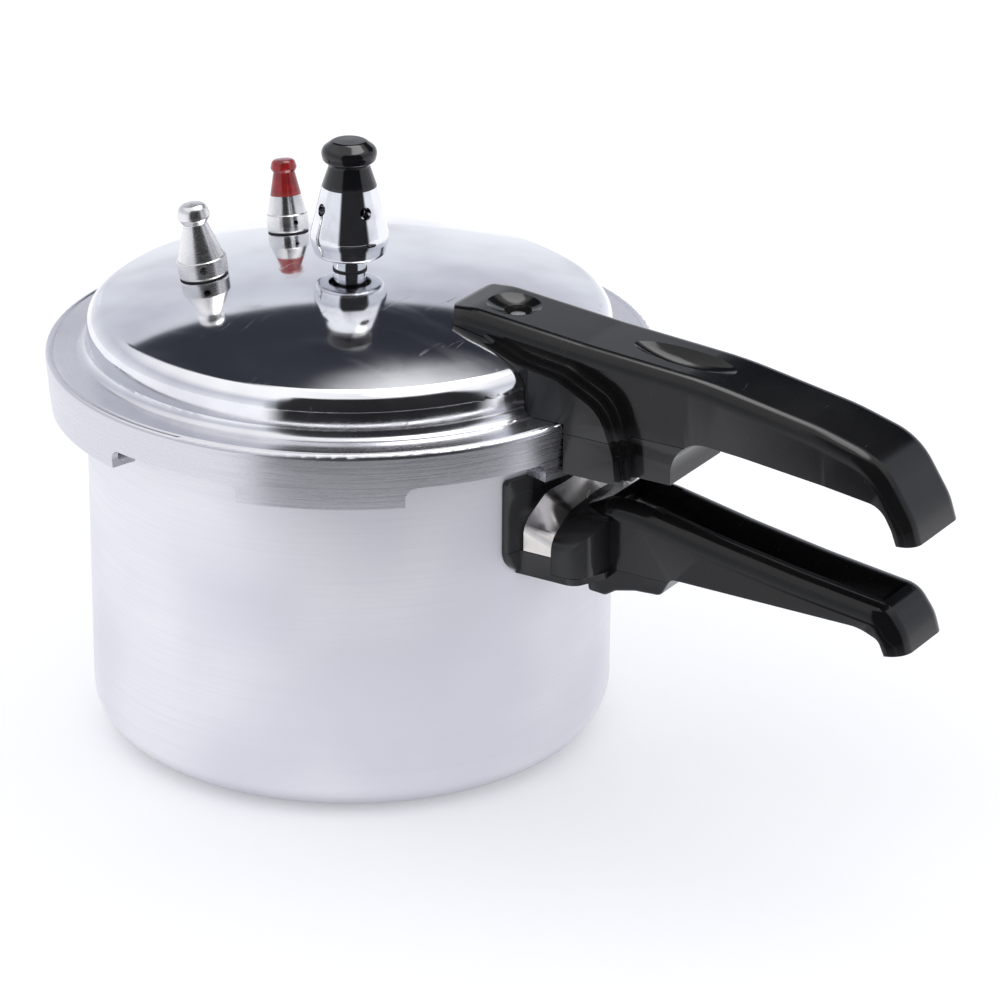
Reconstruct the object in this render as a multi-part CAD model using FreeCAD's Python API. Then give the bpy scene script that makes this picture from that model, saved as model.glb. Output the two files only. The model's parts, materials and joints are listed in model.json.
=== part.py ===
import FreeCAD, Part
import math
import os

# Stovetop pressure cooker, millimetres, +Z up, handles along +X.
# Origin: centre of the underside of the pot, on the pot's axis.

V = FreeCAD.Vector

# ---------------------------------------------------------------- driving dimensions
POT_R = 102.5            # outer radius of the pot wall
POT_H = 149.4            # height of the pot's rim
POT_WALL = 2.5
POT_FLOOR = 3.6
POT_CORNER_R = 18.5      # outer radius where wall meets floor
RIM_REACH = 2.3          # how far the rim bead stands out of the wall
RIM_DEPTH = 4.6

TAB_COUNT = 6            # bayonet tabs on the lid, lugs on the pot
TAB_DEG = 31.3           # width of a lid tab
POT_LUG_DEG = 27.0
TAB_START_DEG = -2.5     # centre of the first tab
LUG_T = 2.8              # thickness of a lid lug
POT_LUG_T = 4.0
LUG_GAP = 0.5            # vertical play of the bayonet

LID_T = 2.6              # lid sheet thickness
GASKET_T = 4.4
SEAL_GAP = 0.3
SKIRT_DROP = 14.1        # flange top to skirt edge between the tabs
TAB_DROP = 21.9          # flange top to the bottom of a tab
SKIRT_OUT = 15.5         # skirt's outer radius beyond the pot wall
SKIRT_TAPER = 1.7
DOME_IN = 0.7            # dome wall's radius inside the pot wall's
DOME_WALL_H = 9.9        # flange top to the centre of the shoulder arc
SHOULDER_R = 8.0
CROWN_R = 375.0          # spherical crown of the lid

HANDLE_W = 38.0          # upper grip
HANDLE_LEN = 153.5       # pot wall to the tip of the upper grip
GRIP_SHOULDER = 6.0      # rounding along the top of the upper grip
COLLAR_W = 60.0          # widest part of the upper handle's collar
RIDGE_STEP = 1.9
BLOCK_TOP_DROP = 3.4     # seam of the upper handle below the flange top
LOW_GRIP_W = 35.0
LOW_GRIP_LEN = 150.0     # pot wall to the tip of the lower grip
LOW_SHOULDER = 7.5       # rounding along the top of the lower grip
LOW_CHANNEL_W = 17.6
ROOT_W = 69.0
FLANGE_W = 81.0
BRACKET_W = 20.8         # pot bracket, inside the lower handle

WEIGHT_H = 45.9
WEIGHT_D = 30.8
WEIGHT_GAP = 6.1         # lid crown to the underside of the weight
VENT_D = 12.7
VENT_BORE = 3.0
FLOAT_IN = 26.5          # float's distance inside the pot wall
FLOAT_D = 4.0
FLOAT_LIFT = 4.0
RED_IN = 41.0            # each valve's distance inside the pot wall, and its bearing
RED_DEG = 146.6
SILVER_IN = 46.0
SILVER_DEG = 208.3
RED_D = 16.5
RED_H = 29.2
SILVER_D = 19.4
SILVER_H = 29.5
VALVE_SEAL_T = 0.45
PLUNGER_LIFT = 2.0

# ---------------------------------------------------------------- derived levels
FLANGE_Z = POT_H + SEAL_GAP + GASKET_T + LID_T
UNDER_Z = FLANGE_Z - LID_T
SKIRT_R = POT_R + SKIRT_OUT
SKIRT_IN = SKIRT_R - LID_T
DOME_R = POT_R - DOME_IN
TAB_Z = FLANGE_Z - TAB_DROP
SKIRT_Z = FLANGE_Z - SKIRT_DROP
LID_LUG_R = POT_R + RIM_REACH + 0.8
POT_LUG_R = SKIRT_IN - SKIRT_TAPER - 2.6
SHOULDER_AT = (DOME_R - SHOULDER_R, FLANGE_Z + DOME_WALL_H)
SEAM_Z = FLANGE_Z - BLOCK_TOP_DROP
BLOCK_Z = TAB_Z + 2.5
LOW_SEAM_Z = TAB_Z - 37.8

HANDLE_REACH = POT_R + HANDLE_LEN
LOW_GRIP_REACH = POT_R + LOW_GRIP_LEN
FLOAT_X = POT_R - FLOAT_IN


def polar(r, deg):
    return (r * math.cos(math.radians(deg)), r * math.sin(math.radians(deg)))


RED_AT = polar(POT_R - RED_IN, RED_DEG)
SILVER_AT = polar(POT_R - SILVER_IN, SILVER_DEG)

# crown: one sphere, tangent to the shoulder arc
EDGE_SIN = SHOULDER_AT[0] / (CROWN_R - SHOULDER_R)
CROWN_C_Z = SHOULDER_AT[1] - (CROWN_R - SHOULDER_R) * math.sqrt(1 - EDGE_SIN ** 2)
CROWN_TOP = CROWN_C_Z + CROWN_R


def crown_z(r, off=0.0):
    """Height of the crown at radius r, for a surface offset outward by off."""
    return CROWN_C_Z + math.sqrt((CROWN_R + off) ** 2 - r ** 2)


def crown_lean(r):
    """Slope of the crown at radius r, radians."""
    return math.asin(r / CROWN_R)


# ---------------------------------------------------------------- helpers
def xz(a, b):
    return V(a, 0, b)


def yz(a, b):
    return V(0, a, b)


def xy(a, b):
    return V(a, b, 0)


def outline(points, plane):
    """Closed wire through (a, b[, corner radius]) points."""
    n = len(points)
    starts = []
    ends = []
    mids = []
    for i in range(n):
        p = V(points[i][0], points[i][1], 0)
        r = points[i][2] if len(points[i]) > 2 else 0
        if not r:
            starts.append(p)
            ends.append(p)
            mids.append(None)
            continue
        a = V(points[i - 1][0], points[i - 1][1], 0)
        b = V(points[(i + 1) % n][0], points[(i + 1) % n][1], 0)
        u = (a - p).normalize()
        w = (b - p).normalize()
        half = u.getAngle(w) / 2
        cut = r / math.tan(half)
        bis = (u + w).normalize()
        starts.append(p + u * cut)
        ends.append(p + w * cut)
        mids.append(p + bis * (r / math.sin(half) - r))
    edges = []
    for i in range(n):
        if mids[i] is not None:
            arc = [plane(q.x, q.y) for q in (starts[i], mids[i], ends[i])]
            edges.append(Part.Arc(*arc).toShape())
        a = ends[i]
        b = starts[(i + 1) % n]
        if (a - b).Length > 1e-6:
            edges.append(Part.LineSegment(plane(a.x, a.y), plane(b.x, b.y)).toShape())
    return Part.Wire(edges)


def face(points, plane=xz):
    return Part.Face(outline(points, plane))


def spin(points, deg=360.0, start=0.0):
    """Solid of revolution about Z from (r, z[, corner radius]) points."""
    shape = face(points).revolve(V(0, 0, 0), V(0, 0, 1), deg)
    if start:
        shape.rotate(V(0, 0, 0), V(0, 0, 1), start)
    return shape


def slab(points, y0, y1):
    """Side outline (x, z[, radius]) pushed from y0 to y1."""
    f = face(points)
    f.translate(V(0, y0, 0))
    return f.extrude(V(0, y1 - y0, 0))


def plate(points, z0, z1):
    """Plan outline (x, y[, radius]) pushed from z0 to z1."""
    f = face(points, xy)
    f.translate(V(0, 0, z0))
    return f.extrude(V(0, 0, z1 - z0))


def box(x0, x1, y0, y1, z0, z1):
    return Part.makeBox(x1 - x0, y1 - y0, z1 - z0, V(x0, y0, z0))


def rod(r, z0, z1, x=0.0, y=0.0):
    return Part.makeCylinder(r, z1 - z0, V(x, y, z0), V(0, 0, 1))


def bar_x(r, x0, x1, y=0.0, z=0.0):
    return Part.makeCylinder(r, x1 - x0, V(x0, y, z), V(1, 0, 0))


def join(shapes):
    out = shapes[0].fuse(shapes[1:])
    return out.removeSplitter()


def hexagon(across, z0, z1, x=0.0, y=0.0):
    r = across / math.sqrt(3)
    pts = []
    for i in range(6):
        a = math.radians(60 * i)
        pts.append((x + r * math.cos(a), y + r * math.sin(a)))
    return plate(pts, z0, z1)


def near(shape, test):
    """Edges of a shape whose midpoint passes the test."""
    out = []
    for e in shape.Edges:
        p = e.valueAt((e.FirstParameter + e.LastParameter) / 2)
        if test(p, e):
            out.append(e)
    return out


def rim_edges(shape, y_abs, test):
    """Edges on the side faces y = +-y_abs whose outward side normal (in XZ) passes the test."""
    out = []
    for e in shape.Edges:
        mid = (e.FirstParameter + e.LastParameter) / 2
        p = e.valueAt(mid)
        if abs(abs(p.y) - y_abs) > 0.01:
            continue
        d = e.tangentAt(mid)
        n = V(d.z, 0, -d.x)
        if n.Length < 0.9:
            continue
        inner = V(0, -0.05 if p.y > 0 else 0.05, 0)
        if shape.isInside(p + n * 0.05 + inner, 1e-6, True):
            n = n * -1
        if test(p, n):
            out.append(e)
    return out


def on_crown(shape, at):
    """Stand a shape built on the Z axis upright on the crown at point (x, y)."""
    r = math.hypot(at[0], at[1])
    out = shape.copy()
    lean = math.degrees(crown_lean(r))
    out.rotate(V(0, 0, 0), V(-at[1] / r, at[0] / r, 0), lean)
    out.translate(V(at[0], at[1], crown_z(r)))
    return out


def mirror_y(points):
    """Complete a half outline given from +Y side down to -Y side."""
    return points + [(p[0], -p[1]) + tuple(p[2:]) for p in reversed(points)]


PARTS = {}


def keep(name, shape):
    if len(shape.Solids) == 1:
        shape = shape.Solids[0]
    PARTS[name] = shape


# ---------------------------------------------------------------- pot body
def make_pot():
    ro = POT_R
    ri = POT_R - POT_WALL
    rim = ro + RIM_REACH
    rim_z = POT_H - RIM_DEPTH
    body = spin([
        (0, 0), (ro - POT_CORNER_R + 3, 0), (ro - POT_CORNER_R + 3.01, 0.6),
        (ro, 0.6, POT_CORNER_R), (ro, rim_z, 1.2), (rim, rim_z, 0.5), (rim, POT_H, 1.4),
        (ri, POT_H, 0.8), (ri, POT_FLOOR, POT_CORNER_R - POT_WALL), (0, POT_FLOOR)])
    lug_z = TAB_Z + LUG_T + LUG_GAP
    lugs = []
    for i in range(TAB_COUNT):
        mid = TAB_START_DEG + i * 360.0 / TAB_COUNT
        lug = spin([
            (ro - 1.0, lug_z), (POT_LUG_R, lug_z, 0.6),
            (POT_LUG_R, lug_z + POT_LUG_T - 1.0, 0.8), (ro - 1.0, lug_z + POT_LUG_T + 0.6)],
            POT_LUG_DEG, mid - POT_LUG_DEG / 2)
        lugs.append(lug)
    return join([body] + lugs)


# ---------------------------------------------------------------- lid shell
def arc_wire(points):
    """Wire from a list of ("L", p) and ("A", mid, p) steps after a first point."""
    edges = []
    here = points[0]
    for step in points[1:]:
        if step[0] == "L":
            edges.append(Part.LineSegment(xz(*here), xz(*step[1])).toShape())
        else:
            edges.append(Part.Arc(xz(*here), xz(*step[1]), xz(*step[2])).toShape())
        here = step[-1]
    return Part.Wire(edges)


def dome_steps(off):
    """Crown, shoulder and dome wall for a surface moved outward by off."""
    edge = math.asin(EDGE_SIN)
    rs = SHOULDER_R + off
    cx, cz = SHOULDER_AT

    def on_shoulder(a):
        return (cx + rs * math.sin(a), cz + rs * math.cos(a))

    tangent = on_shoulder(edge)
    half_r = tangent[0] / 2
    return [
        (0, CROWN_TOP + off),
        ("A", (half_r, crown_z(half_r, off)), tangent),
        ("A", on_shoulder((edge + math.pi / 2) / 2), (cx + rs, cz)),
    ]


def make_lid():
    foot = 4.0
    top = FLANGE_Z
    bead = SKIRT_R - 3.4
    outer = dome_steps(0)
    k = foot * (1 - math.sqrt(0.5))
    outer += [
        ("L", (DOME_R, top + foot)),
        ("A", (DOME_R + k, top + k), (DOME_R + foot, top)),
        ("L", (bead, top)),
        ("L", (bead + 0.5, top - 0.5)),
        ("L", (bead + 1.1, top - 0.5)),
        ("L", (bead + 1.6, top)),
        ("A", (SKIRT_R - 0.5, top - 0.5), (SKIRT_R, top - 1.8)),
        ("L", (SKIRT_R - SKIRT_TAPER, TAB_Z)),
        ("L", (LID_LUG_R, TAB_Z)),
        ("L", (LID_LUG_R, TAB_Z + LUG_T)),
        ("L", (SKIRT_IN - SKIRT_TAPER, TAB_Z + LUG_T)),
        ("L", (SKIRT_IN, UNDER_Z)),
        ("L", (DOME_R - LID_T, UNDER_Z)),
    ]
    inner = dome_steps(-LID_T)
    back = [inner[0]] + [s[-1] for s in inner[1:]]
    outer.append(("L", back[-1]))
    for i in range(len(inner) - 1, 0, -1):
        outer.append(("A", inner[i][1], back[i - 1]))
    outer.append(("L", outer[0]))
    shell = Part.Face(arc_wire(outer)).revolve(V(0, 0, 0), V(0, 0, 1), 360)
    # between the tabs the skirt is shorter and carries no lug
    open_deg = 360.0 / TAB_COUNT - TAB_DEG
    cutters = []
    for i in range(TAB_COUNT):
        mid = TAB_START_DEG + (i + 0.5) * 360.0 / TAB_COUNT
        cut = spin([(LID_LUG_R - 1, TAB_Z - 4), (SKIRT_R + 3, TAB_Z - 4),
                    (SKIRT_R + 3, SKIRT_Z), (LID_LUG_R - 1, SKIRT_Z)], open_deg, mid - open_deg / 2)
        ends = near(cut, lambda p, e: abs(p.z - SKIRT_Z) < 0.01 and abs(
            math.hypot(p.x, p.y) - (SKIRT_R + LID_LUG_R + 2) / 2) < 1 and e.Length < 40)
        cut = cut.makeFillet(4.5, ends)
        cutters.append(cut)
    shell = shell.cut(cutters)
    return shell


# ---------------------------------------------------------------- gasket
def make_gasket():
    r0 = DOME_R - LID_T + 0.4
    r1 = SKIRT_IN - 0.9
    z0 = UNDER_Z - GASKET_T
    z1 = UNDER_Z - 0.1
    ring = spin([(r0, z0, 0.9), (r1, z0, 0.9), (r1, z1, 0.6), (r0, z1, 0.6)])
    groove = spin([(r0 - 1, z0 + 1.5), (r0 + 3.6, z0 + 1.9, 0.2), (r0 + 3.6, z0 + 2.5, 0.2),
                   (r0 - 1, z0 + 2.9)])
    return ring.cut(groove)


# ---------------------------------------------------------------- upper handle
def lid_solid(gap):
    """The lid's outer shape grown by a gap, used to fit the handle against it."""
    top = FLANGE_Z + gap
    foot = 4.0 - gap
    wall = DOME_R + gap
    k = foot * (1 - math.sqrt(0.5))
    steps = dome_steps(gap)
    steps += [
        ("L", (wall, top + foot)),
        ("A", (wall + k, top + k), (wall + foot, top)),
        ("L", (SKIRT_R + gap, top)),
        ("L", (SKIRT_R + gap, TAB_Z - 30)),
        ("L", (0, TAB_Z - 30)),
    ]
    steps.append(("L", steps[0]))
    return Part.Face(arc_wire(steps)).revolve(V(0, 0, 0), V(0, 0, 1), 360)


def make_upper_handle():
    """Returns grip and base block, both fitted to the lid."""
    p = POT_R
    f = FLANGE_Z
    tip = HANDLE_REACH
    half = HANDLE_W / 2
    arch_x = p + 51.6
    # side outline of the grip, running over the lid to the nose
    grip = slab([
        (p - 57.0, f + 22.5), (p - 49.0, f + 30.4, 10.0), (p - 37.5, f + 31.3, 30.0),
        (p + 11.0, f + 26.8, 120.0), (p + 0.417 * HANDLE_LEN, f + 23.2, 180.0), (tip - 42.5, f + 15.2, 110.0),
        (tip - 16.5, f + 7.9, 28.0), (tip - 2.8, f - 13.0, 26.0), (tip, f - 21.8),
        (tip - 7.6, f - 22.2), (tip - 9.8, f - 16.5, 7.0), (tip - 14.5, f - 8.4, 10.0),
        (tip - 38.0, f - 5.3, 90.0), (p + 0.528 * HANDLE_LEN, f - 1.7, 160.0), (arch_x, f + 0.4, 14.0),
        (arch_x, BLOCK_Z), (p + 0.5, BLOCK_Z), (p - 30.0, f + 8.0)],
        -half, half)
    crest = rim_edges(grip, half, lambda q, n: q.x > p - 50 and (
        n.z > 0.3 or n.x > 0.3 and q.x > tip - 30))
    grip = grip.makeFillet(GRIP_SHOULDER, crest)
    # collar hugging the lid: three nested layers, each narrower and set further out
    layers = []
    for i in range(3):
        d = i * RIDGE_STEP
        w = COLLAR_W / 2 - i * 3.1
        side = slab([
            (p - 50.0, f + 10.0), (p - 50.0, f + 25.8 + d), (p - 20.5, f + 20.8 + d, 60.0),
            (p + 8.0 + d * 0.5, f + 17.0 + d, 14.0), (p + 26.5 + d, f + 8.0 + d, 16.0),
            (p + 33.0 + d, f - 8.0, 22.0), (p + 34.0 + d, BLOCK_Z), (p - 2, BLOCK_Z)],
            -w, w)
        plan = plate(mirror_y([
            (p + 60, w), (p - 8.0, w, 24.0), (p - 30.0, w - 8.0, 30.0),
            (p - 51.5 + d, 13.0 - i, 4.0)]), BLOCK_Z - 5, f + 60)
        layer = side.common(plan)
        layers.append(layer)
    whole = join([grip] + layers)
    whole = whole.cut(lid_solid(0.15))
    # nothing of the handle goes inside the skirt or past the flange
    nose = plate(mirror_y([(p + 300, 60.0), (p - 20.0, 60.0), (p - 48.8, 9.5, 9.0)]),
                 TAB_Z - 60, f + 60)
    whole = whole.common(nose)
    # float hole in a dished recess, and the thumb dimple
    top_z = f + 30.0
    dish = Part.makeSphere(22.0, V(FLOAT_X, 0, top_z + 19.6))
    whole = whole.cut([dish, rod(5.3, f, top_z + 9, FLOAT_X)])
    thumb = Part.makeSphere(60.0, V(0, 0, 0))
    squash = FreeCAD.Matrix()
    squash.A22 = 0.36
    thumb = thumb.transformGeometry(squash)
    thumb.rotate(V(0, 0, 0), V(0, 1, 0), 5.2)
    thumb.translate(V(p + 45.5 + 5.2, 0, f + 22.4 + 57.6))
    whole = whole.cut(thumb)
    return whole


def make_handles():
    p = POT_R
    f = FLANGE_Z
    whole = make_upper_handle()
    big = 400.0
    below = box(-big, p + 57.0, -big, big, BLOCK_Z - 9, SEAM_Z)
    upper = whole.cut(below)
    lower = whole.common(below).cut(box(-big, big, -big, big, SEAM_Z - 0.25, SEAM_Z + 1))
    # pocket for the bracket, screw post and nut
    pocket = box(SKIRT_R - 30, p + 44.0, -12.5, 12.5, SEAM_Z - 1, f + 11.9)
    upper = upper.cut([pocket, rod(3.4, f + 5, f + 16.4, p + 36.0)])
    lower = lower.cut([box(SKIRT_R + 2.5, p + 27.0, -20, 20, BLOCK_Z + 3, SEAM_Z + 1),
                       rod(2.7, BLOCK_Z - 2, SEAM_Z + 2, p + 36.0),
                       rod(5.2, BLOCK_Z - 2, BLOCK_Z + 4.2, p + 36.0)])
    keep("lid_handle_grip", upper)
    keep("lid_handle_base", lower)
    # strap from the dome wall into the handle
    strap_z = f + 7.0
    wall = DOME_R
    strap = slab([
        (wall - 6, strap_z - 2.4), (p + 42.5, strap_z - 2.4, 0.5), (p + 42.5, strap_z, 0.5),
        (wall + 5.0, strap_z, 0.3), (wall + 5.0, f + 11.3, 1.0), (wall - 6, f + 11.3)], -11, 11)
    strap = strap.cut([lid_solid(0.0), rod(2.7, f, f + 12, p + 36.0)])
    rivets = []
    holes = []
    for side in (-1, 1):
        y = side * 6.0
        x0 = math.sqrt((wall - LID_T) ** 2 - y ** 2)
        z = f + 9.2
        shank = bar_x(1.55, x0 - 1.2, wall + 6.2, y, z)
        head = bar_x(1.75, wall + 5.05, wall + 6.4, y, z)
        tail = bar_x(2.0, x0 - 1.7, x0 - 0.3, y, z)
        rivets.append(join([shank, head, tail]))
        holes.append(bar_x(1.6, x0 - 3, wall + 7, y, z))
    strap = strap.cut(holes)
    keep("lid_bracket", strap)
    keep("lid_rivet_left", rivets[1])
    keep("lid_rivet_right", rivets[0])
    # screw up through the base, the strap and into a brass insert in the grip
    sx = p + 36.0
    insert = rod(3.35, strap_z + 0.05, f + 16.3, sx).cut(rod(2.05, strap_z - 1, f + 16.4, sx))
    keep("lid_handle_insert", insert)
    head = spin([(0, 0), (4.6, 0, 0.4), (4.6, 1.2, 0.4), (2.4, 3.2), (0, 3.2)])
    head.translate(V(sx, 0, BLOCK_Z + 0.9))
    shank = rod(2.0, BLOCK_Z + 3.6, f + 13.5, sx)
    slot_a = box(sx - 2.6, sx + 2.6, -0.5, 0.5, BLOCK_Z - 1, BLOCK_Z + 2.0)
    slot_b = box(sx - 0.5, sx + 0.5, -2.6, 2.6, BLOCK_Z - 1, BLOCK_Z + 2.0)
    keep("lid_handle_screw", join([head, shank]).cut([slot_a, slot_b]))
    return holes


# ---------------------------------------------------------------- lower handle
def arch_wire(x, half, base, knee, knee_r, hip_y, hip_z, top, shrink=0.0):
    """Arch section across the handle root at position x."""
    h = half - shrink
    pts = [(h, base), (h, knee - shrink * 0.5, knee_r), (hip_y - shrink * 0.5, hip_z - shrink, 9.0),
           (0, top - shrink, 30.0), (-hip_y + shrink * 0.5, hip_z - shrink, 9.0),
           (-h, knee - shrink * 0.5, knee_r), (-h, base)]
    w = outline(pts, yz)
    w.translate(V(x, 0, 0))
    return w


def arch_loft(x0, x1, base, shrink):
    """Flared saddle shape between the pot and the root block."""
    t = TAB_Z
    half = ROOT_W / 2
    low = arch_wire(x1, half, base, t - 24.0, 8.0, 20.0, t - 16.7, t - 15.2, shrink)
    high = arch_wire(x0, half, base, t - 22.0, 6.0, 22.0, t - 8.6, t - 4.2, shrink)
    return Part.makeLoft([high, low], True, True)


def make_flange(z0, z1):
    """Slice of the shield that hugs the pot behind the lower handle."""
    p = POT_R
    t = TAB_Z
    w = FLANGE_W / 2
    wrap = spin([(p - 4, z0), (p + 2.2, z0), (p + 2.2, z1, 0.0), (p - 4, z1)], 56.0, -28.0)
    face_yz = face([(w, t - 1.0, 3.0), (w, t - 40.4, 10.0), (-w, t - 40.4, 10.0), (-w, t - 1.0, 3.0)],
                   yz)
    return wrap.common(face_yz.extrude(V(p + 20, 0, 0)))


def make_lower_handle():
    p = POT_R
    t = TAB_Z
    ledge_z = t - 31.0
    seam = LOW_SEAM_Z
    half = LOW_GRIP_W / 2
    root = ROOT_W / 2
    canal = LOW_CHANNEL_W / 2
    tip = LOW_GRIP_REACH
    run = LOW_GRIP_LEN
    near_x = p - 2.4
    band_x = p + 9.7
    root_x = p + 22.5
    # root block with arch section
    sect = arch_wire(band_x, root, seam, t - 24.0, 8.0, 20.0, t - 16.7, t - 15.2)
    block = Part.Face(sect).extrude(V(root_x - band_x + 4, 0, 0))
    plan = plate(mirror_y([(near_x - 12, root), (root_x, root, 9.0), (root_x + 3.5, half - 3.0)]),
                 seam - 20, t)
    block = block.common(plan)
    core = arch_loft(near_x, band_x, seam, 1.35)
    flange = make_flange(ledge_z + 0.15, t - 1.6)
    # grip: side walls around an open channel
    grip = slab([
        (p + 11.0, t - 16.6), (p + 24.0, t - 10.6, 12.0), (p + 36.0, t - 11.0, 40.0),
        (p + 0.467 * run, t - 17.6, 300.0), (p + 0.68 * run, t - 22.8, 300.0), (tip - 9.5, t - 27.8, 12.0),
        (tip - 2.2, t - 37.5, 18.0), (tip, t - 44.8), (tip - 8.0, t - 45.6), (tip - 10.6, t - 39.8, 5.0),
        (tip - 19.0, t - 36.6, 20.0), (p + 53.0, t - 36.2, 4.0), (p + 50.0, seam),
        (p + 11.0, seam)], -half, half)
    crest = rim_edges(grip, half, lambda q, n: q.x > p + 12 and (
        n.z > 0.3 or n.x > 0.3 and q.x > tip - 30))
    grip = grip.makeFillet(LOW_SHOULDER, crest)
    body = join([block, core, flange, grip])
    channel = slab([
        (p + 38.0, t - 4), (p + 38.0, t - 18.0, 2.0), (p + 47.5, t - 19.5, 3.0),
        (p + 52.5, t - 32.0, 3.0), (tip - 18.0, t - 32.0, 5.0), (tip - 10.7, t - 26.0),
        (tip - 10.7, t - 4)], -canal, canal)
    mouth = slab([
        (p + 22.0, t - 4), (p + 22.0, t - 16.0, 2.0), (p + 41.0, t - 17.0), (p + 41.0, t - 4)],
        -canal - 2.0, canal + 2.0)
    pocket = box(p - 4, p + 40.0, -11.0, 11.0, seam - 1, t - 21.6)
    hug = rod(p + 0.15, seam - 30, t + 10)
    body = body.cut([channel, mouth, pocket, hug])
    below_root = box(p - 40, p + 60, -60, 60, seam - 20, seam)
    above = box(p - 40, p + 60, -60, 60, t - 1.0, t + 20)
    return body.cut([below_root, above])


def make_lower_parts():
    p = POT_R
    t = TAB_Z
    seam = LOW_SEAM_Z
    half = LOW_GRIP_W / 2
    root = ROOT_W / 2
    near_x = p - 2.4
    band_x = p + 9.7
    body = make_lower_handle()
    hug = rod(p + 0.15, seam - 30, t + 10)
    # ledge under the band belongs to the cover
    ledge_z = t - 31.0
    ledge = box(p - 20, band_x + 0.15, root - 4.0, root + 3, seam - 1, ledge_z + 0.15)
    ledge2 = box(p - 20, band_x + 0.15, -root - 3, -root + 4.0, seam - 1, ledge_z + 0.15)
    body = body.cut([ledge, ledge2])
    # bright band wrapped over the flared part
    band = arch_loft(near_x, band_x, seam - 2, 0.0).cut(arch_loft(near_x, band_x, seam - 4, 1.2))
    band = band.common(box(p - 30, band_x - 0.1, -60, 60, ledge_z + 0.3, t))
    band = band.cut(rod(p + 2.35, seam - 30, t + 10))
    band = max(band.Solids, key=lambda s: s.Volume)
    # cover closing the root from below
    cover_z = seam - 2.8
    cover = plate(mirror_y([(p - 20, root), (p + 20.0, root, 6.0), (p + 26.0, half + 4.0, 5.0)]),
                  cover_z, seam - 0.15)
    side_l = box(p - 20, band_x, root - 3.8, root, seam - 1, ledge_z)
    side_r = box(p - 20, band_x, -root, -root + 3.8, seam - 1, ledge_z)
    lump = slab([
        (p + 14.5, seam - 0.15), (p + 15.7, seam - 11.5, 1.5), (p + 23.1, seam - 12.0, 3.0),
        (p + 27.5, seam - 9.2, 4.0), (p + 36.2, seam - 7.2, 6.0), (p + 47.0, seam - 6.6, 3.0),
        (p + 50.6, seam - 0.15)], -half, half)
    lump_edges = near(lump, lambda q, e: abs(abs(q.y) - half) < 0.01 and q.z < seam - 4)
    lump = lump.makeFillet(1.6, lump_edges)
    cover = join([cover, side_l, side_r, lump, make_flange(t - 42.0, ledge_z)])
    front_x = p + 18.5
    rear_x = p + 33.0
    wells = [box(p + 23.5, p + 27.0, -12, 12, seam - 6.0, seam)]
    for x in (front_x, rear_x):
        wells.append(rod(2.6, seam - 20, seam + 2, x))
        wells.append(rod(4.9, seam - 20, seam - 3.5, x))
    # the flange of the cover is open behind the grip, where the bracket comes through
    gate = box(p - 20, band_x, -root + 3.8, root - 3.8, seam - 0.15, ledge_z + 1)
    cover = cover.cut([hug, gate] + wells)
    keep("pot_handle_grip", body.cut([rod(3.4, t - 30, t - 18.8, rear_x)]))
    keep("pot_handle_cover", cover)
    keep("pot_handle_band", band)
    # bracket: curved pad on the pot wall, arm into the handle
    arm_z = seam + 7.5
    pad_deg = math.degrees(math.asin(BRACKET_W / 2 / (p + 3.0)))
    pad = spin([(p, seam + 1.0), (p + 3.0, seam + 1.0, 1.0), (p + 3.0, t - 23.0, 1.0),
                (p, t - 23.0)], 2 * pad_deg, -pad_deg)
    arm = box(p + 1.5, p + 39.5, -9.0, 9.0, arm_z - 3.2, arm_z)
    gusset = slab([(p + 1.5, arm_z - 3), (p + 8.0, arm_z - 3), (p + 2.9, t - 24.5),
                   (p + 1.5, t - 24.5)], -2.0, 2.0)
    bracket = join([pad, arm, gusset])
    screws = []
    for x in (front_x, rear_x):
        screws.append(rod(2.2, arm_z - 5, arm_z + 1, x))
    rivets = []
    holes = []
    level = seam + 2.3
    for side in (-1, 1):
        y = side * 6.3
        x0 = math.sqrt((p - POT_WALL) ** 2 - y ** 2)
        shank = bar_x(1.5, x0 - 1.2, p + 4.0, y, level)
        tail = bar_x(3.0, x0 - 1.8, x0 - 0.25, y, level)
        head = bar_x(1.9, p + 3.1, p + 4.3, y, level)
        rivets.append(join([shank, tail, head]))
        holes.append(bar_x(1.55, x0 - 3, p + 6, y, level))
    keep("pot_bracket", bracket.cut(screws + holes))
    keep("pot_rivet_left", rivets[1])
    keep("pot_rivet_right", rivets[0])
    top = arm_z + 4.5
    for name, x in (("front", front_x), ("rear", rear_x)):
        head = spin([(0, 0), (4.3, 0, 0.4), (4.3, 1.4, 0.4), (2.2, 2.9), (0, 2.9)])
        head.translate(V(x, 0, seam - 6.5))
        shank = rod(2.05, seam - 4.0, top, x)
        slots = [box(x - 2.4, x + 2.4, -0.5, 0.5, seam - 8, seam - 5.4),
                 box(x - 0.5, x + 0.5, -2.4, 2.4, seam - 8, seam - 5.4)]
        keep("pot_handle_screw_" + name, join([head, shank]).cut(slots))
        nut = hexagon(7.0, arm_z + 0.05, arm_z + 3.4, x).cut(rod(2.1, arm_z - 1, arm_z + 5, x))
        keep("pot_handle_nut_" + name, nut)
    return holes


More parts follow.
